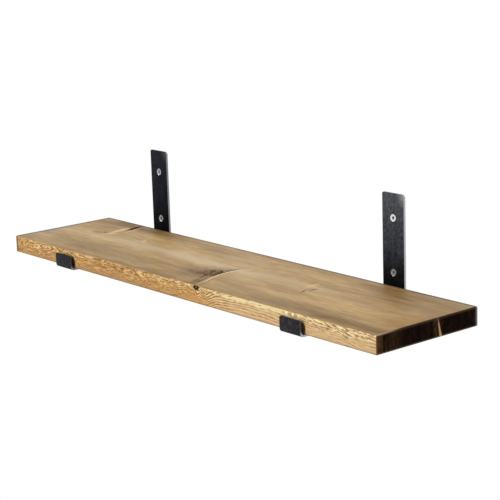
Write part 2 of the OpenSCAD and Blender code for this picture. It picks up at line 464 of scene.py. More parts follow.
frontMarks = {
    # how many curls of the wild grain lie left of each place along the board
    "curls": [(-0.5, 0.6), (-0.42, 2.8), (-0.32, 4.3), (-0.12, 6.2), (-0.02, 8.6), (0.08, 12.0)],
    "curlHeight": 0.012,
    "curlRings": 3.8,  # rings from each heart to the next
    "ringGap": 0.0047,  # between the long lines
    # how far the long lines have dropped at each place, from beside the knot to the right end
    "arch": [(0.062, 0.052), (0.082, 0.030), (0.105, 0.011), (0.150, 0.0), (0.300, 0.001), (0.500, 0.011)],
    # pale blots of painted highlight and their brown rims above the right lip: colour, strength, centre along
    # and up, half size
    "blots": [
        ("#a8753a", 0.6, (0.312, -0.0045), (0.0170, 0.0050)),
        ("#fff1c6", 1.0, (0.2985, -0.0045), (0.0042, 0.0050)),
        ("#fff1c6", 1.0, (0.3135, -0.0045), (0.0042, 0.0050)),
        ("#fbe9b8", 0.8, (0.3270, -0.0045), (0.0036, 0.0050)),
    ],
    # pale eyes among the curls: centre along and up, half size
    "eyes": [((-0.424, -0.0092), (0.013, 0.0054)), ((-0.396, -0.0058), (0.008, 0.0030)),
             ((-0.357, -0.0072), (0.009, 0.0032))],
    "eyeLoop": "#f0d69c",
    "eyeHeart": "#ad7a42",
    # a pale strip of painted highlight and a stretch that is brushed deepest: centre, half size
    "brightStretch": ((0.236, -0.004), (0.124, 1)),
    "deepBrushed": ((0.425, -0.003), (0.145, 0.020)),
    # short lines there: colour, where their noise starts and is full, strength
    "shortLines": [("#845c2e", 0.48, 0.38, 0.9), ("#fdeab6", 0.53, 0.60, 1.0)],
    "leftCorner": "#5b4021",
    # painted shadow of each lip on the wood beside it
    "lowerArris": "#6b5334",
    # painted shade along the lower arris
    "paintedLipShadow": "#1c0c05",
    "knotRim": "#1c0f06",
    "knotHeart": "#7a5228",
    # colour, strength, centre along and up, half size
    "clouds": [
        ("#a36c36", 0.45, (-0.20, -0.010), (0.13, 0.008)),
        ("#96601f", 0.45, (-0.150, -0.004), (0.060, 0.009)),
        ("#f0d08a", 0.40, (0.250, -0.013), (0.060, 0.006)),
        ("#b1865c", 0.60, (-0.22, -0.028), (0.30, 0.012)),
        ("#d29b60", 0.60, (0.060, -0.024), (0.060, 0.014)),
        ("#c58c4d", 0.45, (0.20, -0.028), (0.10, 0.006)),
    ],
}


def wildCurls(tree, stirred):
    # left of the knot the rings curl round scattered hearts, drawn out between its two ends
    along, up = addNode(tree, "SeparateXYZ", {"Vector": stirred}).node.outputs[:2]
    raised = addNode(tree, "Math", {"operation": "MULTIPLY", 0: up, 1: 1 / frontMarks["curlHeight"]})
    hearts = addNode(tree, "CombineXYZ", {"X": onCurve(tree, along, frontMarks["curls"]), "Y": raised})
    curls = addNode(tree, "TexVoronoi", {"voronoi_dimensions": "2D", "feature": "SMOOTH_F1",
                                         "Vector": hearts, "Scale": 1, "Smoothness": 0.4})
    return addNode(tree, "Math", {"operation": "MULTIPLY", 0: curls, 1: frontMarks["curlRings"]})


def longLines(tree, flat, along, up):
    # right of it they run as long lines, which arch over and dive beside the knot
    height = addNode(tree, "Math", {"operation": "ADD", 0: up, 1: onCurve(tree, along, frontMarks["arch"])})
    sway = grainNoise(tree, flat, (110, 30, 200), 3)
    height = addNode(tree, "Math", {"operation": "MULTIPLY_ADD", 0: sway, 1: 0.016, 2: height})
    return addNode(tree, "Math", {"operation": "MULTIPLY", 0: height, 1: 1 / frontMarks["ringGap"]})


def frontRings(tree, flat, stirred, along, up):
    # about 1 on a ring line and 0 in the soft wood between, as far as the brush has brought them out
    calm = addNode(tree, "MapRange", {"interpolation_type": "SMOOTHSTEP", 0: along, 1: 0.045, 2: 0.080})
    rings = addNode(tree, "Mix", {0: calm, 2: wildCurls(tree, stirred), 3: longLines(tree, flat, along, up)})
    rings = addNode(tree, "Math", {"operation": "MULTIPLY", 0: rings, 1: 2 * math.pi})
    rings = addNode(tree, "Math", {"operation": "SINE", 0: rings})
    rings = addNode(tree, "MapRange", {0: rings, 1: -1, 2: 1})
    broken = grainNoise(tree, flat, (14, 4, 200), 3, 0.6)
    broken = addNode(tree, "MapRange", {0: broken, 1: 0.3, 2: 0.7, 3: -0.36, 4: 0.36})
    rings = addNode(tree, "Math", {"operation": "ADD", 0: rings, 1: broken})
    # the brush has bitten most near the top, and all over on the right
    bitten = addNode(tree, "MapRange", {0: up, 1: -0.024, 2: -0.009, 3: 0.18, 4: 0.60})
    righter = addNode(tree, "MapRange", {0: along, 1: 0.05, 2: 0.12, 4: 0.5})
    bitten = addNode(tree, "Math", {"operation": "ADD", "use_clamp": True, 0: bitten, 1: righter})
    # right of the right lip the lines come and go
    patchy = grainNoise(tree, flat, (46, 9, 200), 3, 0.6, (0, 5, 0))
    patchy = addNode(tree, "MapRange", {0: patchy, 1: 0.42, 2: 0.60, 3: 0.35})
    fading = addNode(tree, "MapRange", {0: along, 1: 0.28, 2: 0.36})
    fading = addNode(tree, "Mix", {0: fading, 2: 1.0, 3: patchy})
    bitten = addNode(tree, "Math", {"operation": "MULTIPLY", 0: bitten, 1: fading})
    return addNode(tree, "Mix", {0: bitten, 2: 0.42, 3: rings})


def flecksAndHighlight(tree, tone, place, flat, up, rightward):
    # pale brushed flecks, most of them high on the face, and a long pale strip on the right: partly a painted
    # highlight where the upper face catches the light
    flecks = grainNoise(tree, flat, (14, 3.2, 200), 3, 0.6, (0, 3, 0))
    high = addNode(tree, "MapRange", {0: up, 1: -0.021, 2: -0.003, 3: -0.10, 4: 0.0})
    strip = addNode(tree, "MapRange", {"interpolation_type": "SMOOTHSTEP", 0: up, 1: -0.0105, 2: -0.0055})
    bright = frontSpot(tree, place, *frontMarks["brightStretch"], 0.4)
    bright = addNode(tree, "Math", {"operation": "MULTIPLY", 0: bright, 1: 0.12})
    bright = addNode(tree, "Math", {"operation": "MULTIPLY_ADD", 0: rightward, 1: 0.045, 2: bright})
    more = addNode(tree, "Math", {"operation": "MULTIPLY_ADD", 0: strip, 1: bright, 2: high})
    flecks = addNode(tree, "Math", {"operation": "ADD", 0: flecks, 1: more})
    tone = tintPast(tree, tone, board["fleck"], flecks, 0.53, 0.63, 0.75)
    # small flecks between short dark lines, the brush's deepest work, right of the right lip
    deep = frontSpot(tree, place, *frontMarks["deepBrushed"], 0.6, 0.01)
    short = grainNoise(tree, flat, (13, 2.5, 200), 3, 0.6, (0, 9, 0), -9)
    for code, start, full, share in frontMarks["shortLines"]:
        lines = addNode(tree, "MapRange", {0: short, 1: start, 2: full})
        tone = tint(tree, tone, code, lines, share, deep)
    return tone


def brushedFront():
    # flat-sawn face of the same pine, wire brushed: ring lines stand proud, the soft wood between is pale
    made, tree = startMaterial("brushed pine edge")
    place = boardPlace(tree)
    axes = addNode(tree, "SeparateXYZ", {"Vector": place}).node.outputs
    along, up = axes[0], axes[2]
    flat = addNode(tree, "CombineXYZ", {"X": along, "Y": up})
    # the grain is stirred up more towards the knot
    stir = addNode(tree, "MapRange", {0: along, 1: -0.36, 2: -0.12, 3: 0.010, 4: 0.030})
    stirred = shaken(tree, flat, addNode(tree, "CombineXYZ", {"X": stir, "Y": 0.011}), 64)
    shown = frontRings(tree, flat, stirred, along, up)
    tone = rampStops(addNode(tree, "ValToRGB", {"Fac": shown}),
                     [(0.05, board["frontLate"]), (0.4, board["frontGold"]), (0.7, board["frontPale"]),
                      (1.0, board["fleck"])])
    # thin lines of late wood all over, drawn coarser than they are
    strength = addNode(tree, "MapRange", {0: up, 1: -0.012, 2: -0.022, 3: 0.35, 4: 0.6})
    tone = shadeBy(tree, tone, grainNoise(tree, stirred, (34, 2.2, 200), 3, 0.65),
                   [(0.35, "#6a6a6a"), (0.5, "#bcbcbc"), (0.65, "#f0f0f0")], strength)
    for code, share, centre, size in frontMarks["clouds"]:
        tone = tint(tree, tone, code, frontSpot(tree, place, centre, size, 1, 0.012), share)

    # each eye is a pale loop round a brown heart, thicker on its right
    for (spot, level), (wide, tall) in frontMarks["eyes"]:
        loop = frontSpot(tree, place, (spot, level), (wide, tall), 0.4, 0.004)
        tone = tint(tree, tone, frontMarks["eyeLoop"], loop, 0.85)
        heart = frontSpot(tree, place, (spot - 0.18 * wide, level), (0.66 * wide, 0.60 * tall), 0.5, 0.003)
        tone = tint(tree, tone, frontMarks["eyeHeart"], heart, 0.8)

    # to the right the wood is paler between finer lines
    rightward = addNode(tree, "MapRange", {"interpolation_type": "SMOOTHSTEP", 0: along, 1: 0.08, 2: 0.16})
    paler = addNode(tree, "MapRange", {0: shown, 1: 0.05, 2: 0.4, 3: 0.3})
    tone = tint(tree, tone, board["peach"], paler, 0.75, rightward)
    tone = flecksAndHighlight(tree, tone, place, flat, up, rightward)
    # painted highlights: pale blots with brown rims above the right lip
    for code, share, centre, size in frontMarks["blots"]:
        tone = tint(tree, tone, code, frontSpot(tree, place, centre, size, 0.6, 0.003), share)

    # stain has wrapped round the left corner, the lower arris is darkened as painted shade, and a painted
    # shadow lies behind and right of each lip's right edge
    low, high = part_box("board")
    half, foot = (high.x - low.x) / 2, low.z - high.z
    tone = tintPast(tree, tone, frontMarks["leftCorner"], along, 0.0110 - half, 0.0050 - half, 0.8)
    # painted shade: darker along the lower arris
    tone = tintPast(tree, tone, frontMarks["lowerArris"], up, foot + 0.0035, foot + 0.0010, 0.6)
    for side in ("left", "right"):
        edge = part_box("bracket_" + side)[1].x - boxMiddle("board").x
        # painted shadow cast by the lip
        lipShadow = frontSpot(tree, place, (edge - 0.001, -0.024), (0.0075, 0.017), 0.45, 0.002)
        tone = tint(tree, tone, frontMarks["paintedLipShadow"], lipShadow, 0.92)

    # the knot: a dark rim round a brown heart
    for code, grow in ((frontMarks["knotRim"], 1.25), (frontMarks["knotHeart"], 0.42)):
        size = [grow * v for v in board["knotSize"]]
        tone = tint(tree, tone, code, frontSpot(tree, place, board["knotAt"], size, 0.4, 0.002))
    endMaterial(tree, {"Base Color": tone, "Roughness": 0.7, "Specular IOR Level": 0.15},
                (shown, 0.4, 0.0005))
    return made


endMarks = {
    # paler and browner bands: colour, centre in from the front, half width, strength
    "bands": [("#5f442b", 0.003, 0.024, 0.8), ("#3f2c1c", 0.034, 0.034, 0.6), ("#4b3625", 0.129, 0.012, 0.7),
              ("#4a4038", 0.225, 0.010, 0.8)],
    # a dark line: centre in from the front, half width
    "line": ("#050201", 0.0165, 0.0022),
    # top arris: paler, partly worn, partly a painted sheen
    "topArris": "#4d3d2b",
    "frontArris": "#80603c",
    # painted highlight on the top arris near the front
    "topCornerHighlight": "#b8a486",
    # painted sheen on the back arris
    "backArris": "#8b8890",
    "lowerArris": "#6f6150",
    # the split: its place in from the front at the top, and how far it leans back for each metre down
    "splitAt": 0.1328,
    "splitLean": 0.20,
}


def endSplit(tree, tone, place, inward, up):
    # a pale split, wider towards the underside and lost near the top
    middle = addNode(tree, "Math", {"operation": "MULTIPLY_ADD", 0: up, 1: -endMarks["splitLean"],
                                    2: endMarks["splitAt"]})
    apart = addNode(tree, "Math", {"operation": "SUBTRACT", 0: inward, 1: middle})
    apart = addNode(tree, "Math", {"operation": "ABSOLUTE", 0: apart})
    narrow = addNode(tree, "MapRange", {0: up, 1: -0.006, 2: -0.030, 3: 1.7, 4: 0.8})
    apart = addNode(tree, "Math", {"operation": "MULTIPLY", 0: apart, 1: narrow})
    ragged = grainNoise(tree, place, (200, 30, 9), 2)
    apart = addNode(tree, "Math", {"operation": "MULTIPLY_ADD", 0: ragged, 1: 0.0012, 2: apart})
    split = addNode(tree, "MapRange", {0: apart, 1: 0.0038, 2: 0.0018})
    lower = addNode(tree, "MapRange", {0: up, 1: -0.002, 2: -0.012, 3: 0.2})
    return tint(tree, tone, board["endPale"], split, 1, lower)


def endGrain():
    # sawn end grain, which drinks the stain: almost black, ring bands upright, arrises paler from wear and a
    # painted sheen
    made, tree = startMaterial("stained end grain")
    place = boardPlace(tree)
    inward, up = addNode(tree, "SeparateXYZ", {"Vector": place}).node.outputs[1:]
    bands = grainNoise(tree, place, (200, 7, 60), 3, 0.65)
    tone = rampStops(addNode(tree, "ValToRGB", {"Fac": bands}),
                     [(0.35, board["endDark"]), (0.55, board["endMiddle"]), (0.72, board["endBrown"])])
    banded = addNode(tree, "MapRange", {0: bands, 1: 0.3, 2: 0.6, 3: 0.35})
    for code, centre, width, share in endMarks["bands"]:
        mask = spotMask(tree, place, (0, centre, -0.016), (10, width, 10), soft=1, roughen=0.012)
        tone = tint(tree, tone, code, mask, share, banded)
    # saw marks and open pores, drawn coarser than they are
    tone = shadeBy(tree, tone, grainNoise(tree, place, (200, 2.6, 9), 4, 0.7),
                   [(0.35, "#000000"), (0.5, "#8a8a8a"), (0.65, "#ffffff")], 0.55)
    code, centre, width = endMarks["line"]
    line = spotMask(tree, place, (0, centre, -0.016), (10, width, 0.03), soft=0.6, roughen=0.002)
    tone = tint(tree, tone, code, line, 0.9)
    # over the top arris the end is paler, partly worn and partly a painted sheen; over the back arris a
    # painted sheen; the front one is worn pale
    low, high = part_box("board")
    back, foot = high.y - low.y, low.z - high.z
    for name, value, start, full, share in (("topArris", up, -0.0040, -0.0008, 0.65),
                                            ("frontArris", inward, 0.0040, 0.0010, 0.7),
                                            ("backArris", inward, back - 0.0075, back - 0.0040, 0.7),
                                            ("lowerArris", up, foot + 0.0035, foot + 0.0010, 0.7)):
        tone = tintPast(tree, tone, endMarks[name], value, start, full, share)
    # painted highlight along the top arris near the front
    corner = spotMask(tree, place, (0, 0, 0), (10, 0.060, 0.0030), soft=0.8)
    tone = tint(tree, tone, endMarks["topCornerHighlight"], corner, 0.8)
    tone = endSplit(tree, tone, place, inward, up)
    endMaterial(tree, {"Base Color": tone, "Roughness": 0.9, "Specular IOR Level": 0.02},
                (bands, 0.4, 0.0004))
    return made


def sawnUnderside():
    # underside and back, one coat of stain on a sawn face: duller and more even
    made, tree = startMaterial("stained sawn pine")
    grain = grainNoise(tree, boardPlace(tree), (200, 6.7, 6.7), 4, 0.6)
    tone = rampStops(addNode(tree, "ValToRGB", {"Fac": grain}),
                     [(0.3, board["sawnDark"]), (0.5, board["sawnTan"]), (0.7, board["sawnLight"])])
    endMaterial(tree, {"Base Color": tone, "Roughness": 0.75, "Specular IOR Level": 0.3},
                (grain, 0.4, 0.0005))
    return made


def roundEdges(piece, low, high):
    # each edge is rounded by its own radius, as a share of the largest
    widest = board["cornerRadius"]
    weights = piece.data.attributes.new("bevel_weight_edge", "FLOAT", "EDGE")
    for edge in piece.data.edges:
        a, b = (piece.data.vertices[i].co for i in edge.vertices)
        if abs(a.z - b.z) > 0.01:
            radius = widest
        elif abs(a.y - b.y) > 0.01:
            radius = board["endRadius"]
        else:
            radius = board["topRadius"] if a.z > (low.z + high.z) / 2 else board["underRadius"]
        weights.data[edge.index].value = radius / widest
    applyModifier(piece, "BEVEL", {"width": widest, "segments": 4, "limit_method": "WEIGHT"})


def cutCells(piece, low, high):
    # fine cells along the board, up its front and across its top, for the relief
    tests = [
        ("cutsAlong", 0, 0.9, lambda spot: True),
        ("cutsUpFront", 2, 0.02, lambda spot: spot.y < low.y + 1e-5),
        ("cutsAcrossTop", 1, 0.2, lambda spot: spot.z > high.z - 1e-5),
    ]
    edit(piece)
    for cuts, axis, least, test in tests:
        pick(piece, "EDGE", lambda e: runsAlong(e, axis) and e.calc_length() > least and test(e.verts[0].co))
        bpy.ops.mesh.subdivide(number_cuts=board[cuts])


def finishFaces(piece):
    # the finish of each face by the way it looks
    finishes = [
        (stainedTop, lambda f: f.normal.z > 0.6),
        (brushedFront, lambda f: f.normal.y < -0.6),
        (endGrain, lambda f: abs(f.normal.x) > 0.1 and abs(f.normal.y) < 0.6),
        (sawnUnderside, lambda f: f.normal.z < -0.6 or f.normal.y > 0.6),
    ]
    for index, (finish, test) in enumerate(finishes):
        piece.data.materials.append(finish())
        pick(piece, "FACE", test)
        piece.active_material_index = index
        bpy.ops.object.material_slot_assign()
    deselectAll()


def brushFront(piece, low, high):
    # the front is brushed back where its wood is soft; the grain runs along, so the pattern is stretched
    margin = board["endMargin"]
    front = piece.vertex_groups.new(name="front")
    for vertex in piece.data.vertices:
        if vertex.co.y < low.y + board["brushSkin"] and low.x + margin < vertex.co.x < high.x - margin:
            front.add([vertex.index], 1.0, "REPLACE")
    layout = piece.data.uv_layers.new(name="grainLayout")
    for loop in piece.data.loops:
        spot = piece.data.vertices[loop.vertex_index].co
        layout.data[loop.index].uv = (spot.x * board["brushAlong"], spot.z * board["brushUp"])
    soft = bpy.data.textures.new("softGrain", "CLOUDS")
    soft.noise_scale = 0.5
    soft.noise_depth = 2
    applyModifier(piece, "DISPLACE", {"texture": soft, "texture_coords": "UV", "uv_layer": "grainLayout",
                                      "direction": "Y", "strength": board["brushDepth"], "mid_level": 0.0,
                                      "vertex_group": "front"})
    piece.data.uv_layers.remove(piece.data.uv_layers["grainLayout"])
    piece.vertex_groups.clear()


def wearFront(piece, low, high):
    # the top front arris is worn unevenly, and the knot is sunk with its heart left proud
    margin, reachIn, reachDown = board["endMargin"], board["wearIn"], board["wearDown"]
    knotX, knotZ = (low.x + high.x) / 2 + board["knotAt"][0], high.z + board["knotAt"][1]
    knotWide, knotTall = board["knotSize"]
    for vertex in piece.data.vertices:
        spot = vertex.co
        if spot.y < low.y + reachIn and low.x + margin < spot.x < high.x - margin:
            wear = max(0.0, noise.noise(Vector((spot.x * board["wearLumps"], 3.1, 0))) + 0.35)
            near = max(0.0, 1 - (high.z - spot.z) / reachDown) * max(0.0, 1 - (spot.y - low.y) / reachIn)
            spot.y += board["wearDepth"] * wear * near
            spot.z -= board["wearDepth"] * wear * near * 0.6
            reach = math.hypot((spot.x - knotX) / knotWide, (spot.z - knotZ) / knotTall)
            if reach < 1.3:
                ring = max(0.0, 1 - abs(reach - 0.7) / 0.5)
                spot.y += board["knotDepth"] * (0.35 * max(0.0, 1.3 - reach) + 0.65 * ring)


def makeBoard():
    low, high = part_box("board")
    deselectAll()
    bpy.ops.mesh.primitive_cube_add(size=1, location=(low + high) / 2, scale=high - low)
    piece = bpy.context.object
    bakePlace()
    roundEdges(piece, low, high)
    cutCells(piece, low, high)
    finishFaces(piece)
    brushFront(piece, low, high)
    wearFront(piece, low, high)
    tidyMesh(piece, 40)
    settle(piece, "board_dressed", "board")


makeBoard()
print("board made")


bracket = {
    "barThickness": 0.004,
    "innerRadius": 0.003,
    "topLeftRadius": 0.003,
    "topRightRadius": 0.006,
    "lipRadius": 0.003,
    "edgeBreak": 0.0004,  # the burr filed off the bar's long edges
    "lipHeight": 0.027,
    "wallHole": 0.0065,
    "wallSink": 0.0131,
    "boardHole": 0.0045,
    "boardSink": 0.0091,
    "scale": "#101115",
    "scaleBlue": "#161922",
    "scalePale": "#21252f",
    # burnished specks, and a painted reflection on the upper end
    "burnishAndSheen": "#8b9097",
    # scratches, and a painted highlight by the top right corner
    "scratchAndGlint": "#b9bcc0",
    "handled": "#6d6465",
    # painted shade at the foot of each upright
    "foot": "#0a0908",
    "rust": "#3d332f",
    "sinkMetal": "#c9cbcd",
    # the two differ: their edge greys are set for the light each catches, and their burnish and scratches
    # carry their own painted reflection and highlight
    "bareMetalAsLit": {"left": "#85878a", "right": "#b2b4b6"},
    "burnishAndSheenShare": {"left": 0.05, "right": 0.38},
    "scratchesAndGlint": {"left": 0.1, "right": 0.5},
}


def lacqueredSteel(side):
    # hot-rolled bar with its mill scale on, under clear lacquer: blue-black, cloudy, softly shiny
    made, tree = startMaterial("lacquered mill scale " + side)
    place = addNode(tree, "TexCoord", {}, 3)
    inward, height = addNode(tree, "SeparateXYZ", {"Vector": place}).node.outputs[1:]
    low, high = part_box("bracket_" + side)
    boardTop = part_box("board")[1].z
    clouds = grainNoise(tree, place, (14, 14, 26), 4, 0.65)
    tone = rampStops(addNode(tree, "ValToRGB", {"Fac": clouds}),
                     [(0.35, bracket["scale"]), (0.6, bracket["scaleBlue"]), (0.8, bracket["scalePale"])])
    # the upper end is lighter in specks, burnished by handling, and lighter towards the top as a painted
    # reflection
    specks = grainNoise(tree, place, (4, 4, 6), 4, 0.75)
    rise = addNode(tree, "MapRange", {0: height, 1: boardTop, 2: high.z})
    burnishAndSheenMask = addNode(tree, "Math", {"operation": "MULTIPLY_ADD", 0: clouds, 1: 0.8, 2: rise})
    burnishAndSheenMask = addNode(tree, "Math", {"operation": "MULTIPLY_ADD", 0: specks, 1: 1.0, 2: burnishAndSheenMask})
    burnishAndSheenMask = addNode(tree, "MapRange", {0: burnishAndSheenMask, 1: 0.9, 2: 2.2, 4: bracket["burnishAndSheenShare"][side]})
    speckled = addNode(tree, "MapRange", {0: specks, 1: 0.38, 2: 0.62, 3: 0.60, 4: 1.3})
    tone = tint(tree, tone, bracket["burnishAndSheen"], burnishAndSheenMask, 1, speckled)
    # the face by its ground corner is paler: scratched by the grinding, and a painted highlight where the
    # corner catches the light
    scratchAndGlintSpot = spotMask(tree, place, (high.x - 0.002, high.y, high.z - 0.004), (0.018, 1, 0.022), soft=1,
                         roughen=0.01)
    scratchesAndGlint = grainNoise(tree, place, (30, 200, 3), 3, 0.7)
    scratchesAndGlint = addNode(tree, "MapRange", {0: scratchesAndGlint, 1: 0.35, 2: 0.65, 3: 0.3})
    tone = tint(tree, tone, bracket["scratchAndGlint"], scratchAndGlintSpot, bracket["scratchesAndGlint"][side], scratchesAndGlint)
    # so has pushing the board in at the lip
    lip = addNode(tree, "MapRange", {0: inward, 1: low.y + 0.010, 2: low.y + 0.001})
    handled = addNode(tree, "MapRange", {0: specks, 1: 0.42, 2: 0.64, 3: 0.4})
    tone = tint(tree, tone, bracket["handled"], lip, 0.25, handled)
    # the foot of the bar, above the board, is darkened as painted shade: darker and duller
    foot = addNode(tree, "MapRange", {0: height, 1: boardTop + 0.060, 2: boardTop + 0.007})
    behind = addNode(tree, "MapRange", {0: lip, 1: 0, 2: 0.1, 3: 1, 4: 0})
    tone = tint(tree, tone, bracket["foot"], foot, 0.85, behind)
    drawn = grainNoise(tree, place, (2.4, 2.4, 70), 2)
    gloss = addNode(tree, "MapRange", {0: clouds, 1: 0.3, 2: 0.7, 3: 0.42, 4: 0.55})
    endMaterial(tree, {"Base Color": tone, "Roughness": gloss, "Specular IOR Level": 0.02},
                (drawn, 0.15, 0.0003))
    return made


def bareSteel(name, side, code, roughness):
    # the same steel cut or ground bright: grey, with fine marks along the cut, browned by rust at the lip
    made, tree = startMaterial(name)
    place = addNode(tree, "TexCoord", {}, 3)
    inward, height = addNode(tree, "SeparateXYZ", {"Vector": place}).node.outputs[1:]
    marks = grainNoise(tree, place, (1.1, 1.1, 8), 2)
    darker = [0.75 * v for v in toLinear(code)[:3]] + [1]
    tone = addNode(tree, "Mix", {"data_type": "RGBA", 0: marks, 6: darker, 7: toLinear(code)}, 2)
    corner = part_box("bracket_" + side)[0]
    lipBack = corner.y + bracket["barThickness"]
    behind = addNode(tree, "MapRange", {0: inward, 1: corner.y + 0.009, 2: lipBack})
    above = addNode(tree, "MapRange", {0: height, 1: corner.z + 0.004, 2: corner.z + 0.010})
    tone = tint(tree, tone, bracket["rust"], behind, 0.85, above)
    rough = addNode(tree, "MapRange", {0: marks, 3: roughness - 0.06, 4: roughness + 0.08})
    endMaterial(tree, {"Base Color": tone, "Metallic": 1, "Roughness": rough}, (marks, 0.2, 0.0002))
    return made


def drillHole(piece, face, direction, holeWidth, sinkWidth, sinkFinish):
    # one cutter shaped like a drill with its countersink, wide end out of the bar's face
    over, through = 0.0005, 0.006  # how far it starts before the face, and goes on past its cone
    wide, narrow = sinkWidth / 2 + over, holeWidth / 2
    deselectAll()
    bpy.ops.mesh.primitive_cone_add(vertices=64, radius1=wide, radius2=narrow, depth=wide - narrow,
                                    location=(0, 0, (wide - narrow) / 2 - over))
    cutter = bpy.context.object
    bakePlace()
    edit(cutter)
    pick(cutter, "FACE", lambda f: f.normal.z > 0.9)
    bpy.ops.mesh.extrude_region_move(TRANSFORM_OT_translate={"value": (0, 0, through)})
    deselectAll()
    cutter.data.transform(Matrix.Translation(face) @ direction.to_track_quat("Z", "Y").to_matrix().to_4x4())
    cutter.data.materials.append(sinkFinish)
    applyModifier(piece, "BOOLEAN", {"operation": "DIFFERENCE", "object": cutter, "solver": "EXACT",
                                     "material_mode": "TRANSFER"})
    bpy.data.objects.remove(cutter)


def bendBar(low, high):
    # a length of flat bar for the upright, down to where the bend starts
    middle, thick = (low.x + high.x) / 2, bracket["barThickness"]
    bend = bracket["innerRadius"] + thick
    place = (middle, high.y - thick / 2, (low.z + bend + high.z) / 2)
    size = (high.x - low.x, thick, high.z - low.z - bend)
    deselectAll()
    bpy.ops.mesh.primitive_cube_add(size=1, location=place, scale=size)
    piece = bpy.context.object
    bakePlace()
    edit(piece)
    pick(piece, "FACE", lambda f: f.normal.z < -0.9)
    # bent forwards under the board, and up again in front of it
    flat, lip = (low.y + bend) - (high.y - bend), bracket["lipHeight"] - bend
    for pivot, straight in ((high.y - bend, (0, flat, 0)), (low.y + bend, (0, 0, lip))):
        bpy.ops.mesh.spin(steps=10, angle=math.radians(90), center=(middle, pivot, low.z + bend),
                          axis=(1, 0, 0))
        bpy.ops.mesh.extrude_region_move(TRANSFORM_OT_translate={"value": straight})
    return piece


def grindBar(piece, low, high):
    # the corners ground round, and the burr taken off all sharp edges
    middle, lipTop = (low.x + high.x) / 2, low.z + bracket["lipHeight"]
    lipBack = low.y + bracket["barThickness"]
    corners = [
        ("topLeftRadius", lambda spot: spot.z > high.z - 1e-5 and spot.x < middle),
        ("topRightRadius", lambda spot: spot.z > high.z - 1e-5 and spot.x > middle),
        ("lipRadius", lambda spot: spot.y < lipBack + 1e-5 and abs(spot.z - lipTop) < 1e-5),
    ]
    for radius, test in corners:
        pick(piece, "EDGE", lambda e: runsAlong(e, 1) and test(e.verts[0].co))
        bpy.ops.mesh.bevel(offset=bracket[radius], segments=8, affect="EDGES")
    bpy.ops.mesh.select_all(action="DESELECT")
    bpy.ops.mesh.edges_select_sharp(sharpness=math.radians(50))
    bpy.ops.mesh.bevel(offset=bracket["edgeBreak"], segments=2, affect="EDGES")


def makeBracket(side):
    low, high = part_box("bracket_" + side)
    piece = bendBar(low, high)
    grindBar(piece, low, high)

    # lacquer on the faces, bare metal where the bar was cut and ground
    sinkFinish = bareSteel("bright countersink " + side, side, bracket["sinkMetal"], 0.35)
    for finish in (lacqueredSteel(side),
                   bareSteel("sheared bar edge " + side, side, bracket["bareMetalAsLit"][side], 0.42), sinkFinish):
        piece.data.materials.append(finish)
    pick(piece, "FACE", lambda f: abs(f.normal.x) > 0.3)
    piece.active_material_index = 1
    bpy.ops.object.material_slot_assign()
    deselectAll()

    for row in ("upper", "lower"):
        face = boxMiddle("wall_screw_%s_%s" % (side, row))
        face.y = high.y - bracket["barThickness"]
        drillHole(piece, face, Vector((0, 1, 0)), bracket["wallHole"], bracket["wallSink"], sinkFinish)
    for row in ("rear", "front"):
        face = boxMiddle("board_screw_%s_%s" % (side, row))
        face.z = low.z
        drillHole(piece, face, Vector((0, 0, 1)), bracket["boardHole"], bracket["boardSink"], sinkFinish)
    tidyMesh(piece, 35)
    settle(piece, "bracket_%s_dressed" % side, "bracket_" + side)


for side in ("left", "right"):
    makeBracket(side)
print("brackets made")


wallScrew = {
    "headRadius": 0.006, "rim": 0.0003, "neckRadius": 0.0027, "threadStart": 0.0038,
    "coreRadius": 0.0019, "threadRadius": 0.003, "pitch": 0.0028, "length": 0.06, "pointLength": 0.009,
    "recessSpan": 0.0066, "recessWidth": 0.0016, "sides": 40,
    # how far each head is turned
    "turns": {"left_upper": 12, "left_lower": 55, "right_upper": 31, "right_lower": 78},
}
boardScrew = {
    "headRadius": 0.004, "rim": 0.0003, "neckRadius": 0.00145, "threadStart": 0.0038,
    "coreRadius": 0.00125, "threadRadius": 0.002, "pitch": 0.0018, "length": 0.025, "pointLength": 0.006,
    "recessSpan": 0.0044, "recessWidth": 0.0011, "sides": 32,
    "turns": {"left_rear": 20, "left_front": 65, "right_rear": 8, "right_front": 40},
}
zinc = {
    # the bright copy of the same zinc is painted light
    "bright": ("#f4f5f6", "#dcdee0"),
    "dulled": ("#b4b7ba", "#8b8e91"),
    # painted shade in the recess
    "recessShade": ("#7b7d81", "#55565a"),
    "darkRim": "#2f3033",
}
threadSteps = 10  # rings to each turn of the thread
recessShadeShare = 0.4  # painted recess shade: the head is darker so far from its middle, as a share of the recess's span


def zincPlate(name, tones, darkerRim=None):
    # zinc plating with a dull passive film, so half its light is scattered; one head is darker round its rim
    made, tree = startMaterial(name)
    place = addNode(tree, "TexCoord", {}, 3)
    clouds = grainNoise(tree, place, (2.4, 2.4, 2.4))
    tone = rampStops(addNode(tree, "ValToRGB", {"Fac": clouds}), [(0.3, tones[1]), (0.7, tones[0])])
    if darkerRim:
        clean = spotMask(tree, place, darkerRim, [wallScrew["headRadius"]] * 3, soft=0.35, roughen=0.001,
                         blots=300)
        tone = addNode(tree, "Mix", {"data_type": "RGBA", 0: clean, 6: toLinear(zinc["darkRim"]), 7: tone}, 2)
    rough = addNode(tree, "MapRange", {0: clouds, 3: 0.35, 4: 0.5})
    endMaterial(tree, {"Base Color": tone, "Metallic": 0.5, "Roughness": rough})
    return made


def threadDepth(screw, along, turn):
    # radius of the thread's surface at a height and an angle, running out at both ends
    phase = (along / screw["pitch"] - turn / (2 * math.pi)) % 1
    crest = max(0.0, 1 - abs(phase - 0.5) / 0.32)
    tip = screw["length"]
    taper = min(1.0, (tip - along) / screw["pointLength"])
    start = min(1.0, (along - screw["threadStart"]) / screw["pitch"])
    core = screw["coreRadius"] * (0.15 + 0.85 * taper)
    return core + (screw["threadRadius"] - screw["coreRadius"]) * min(1.0, crest * 1.15) * taper * start


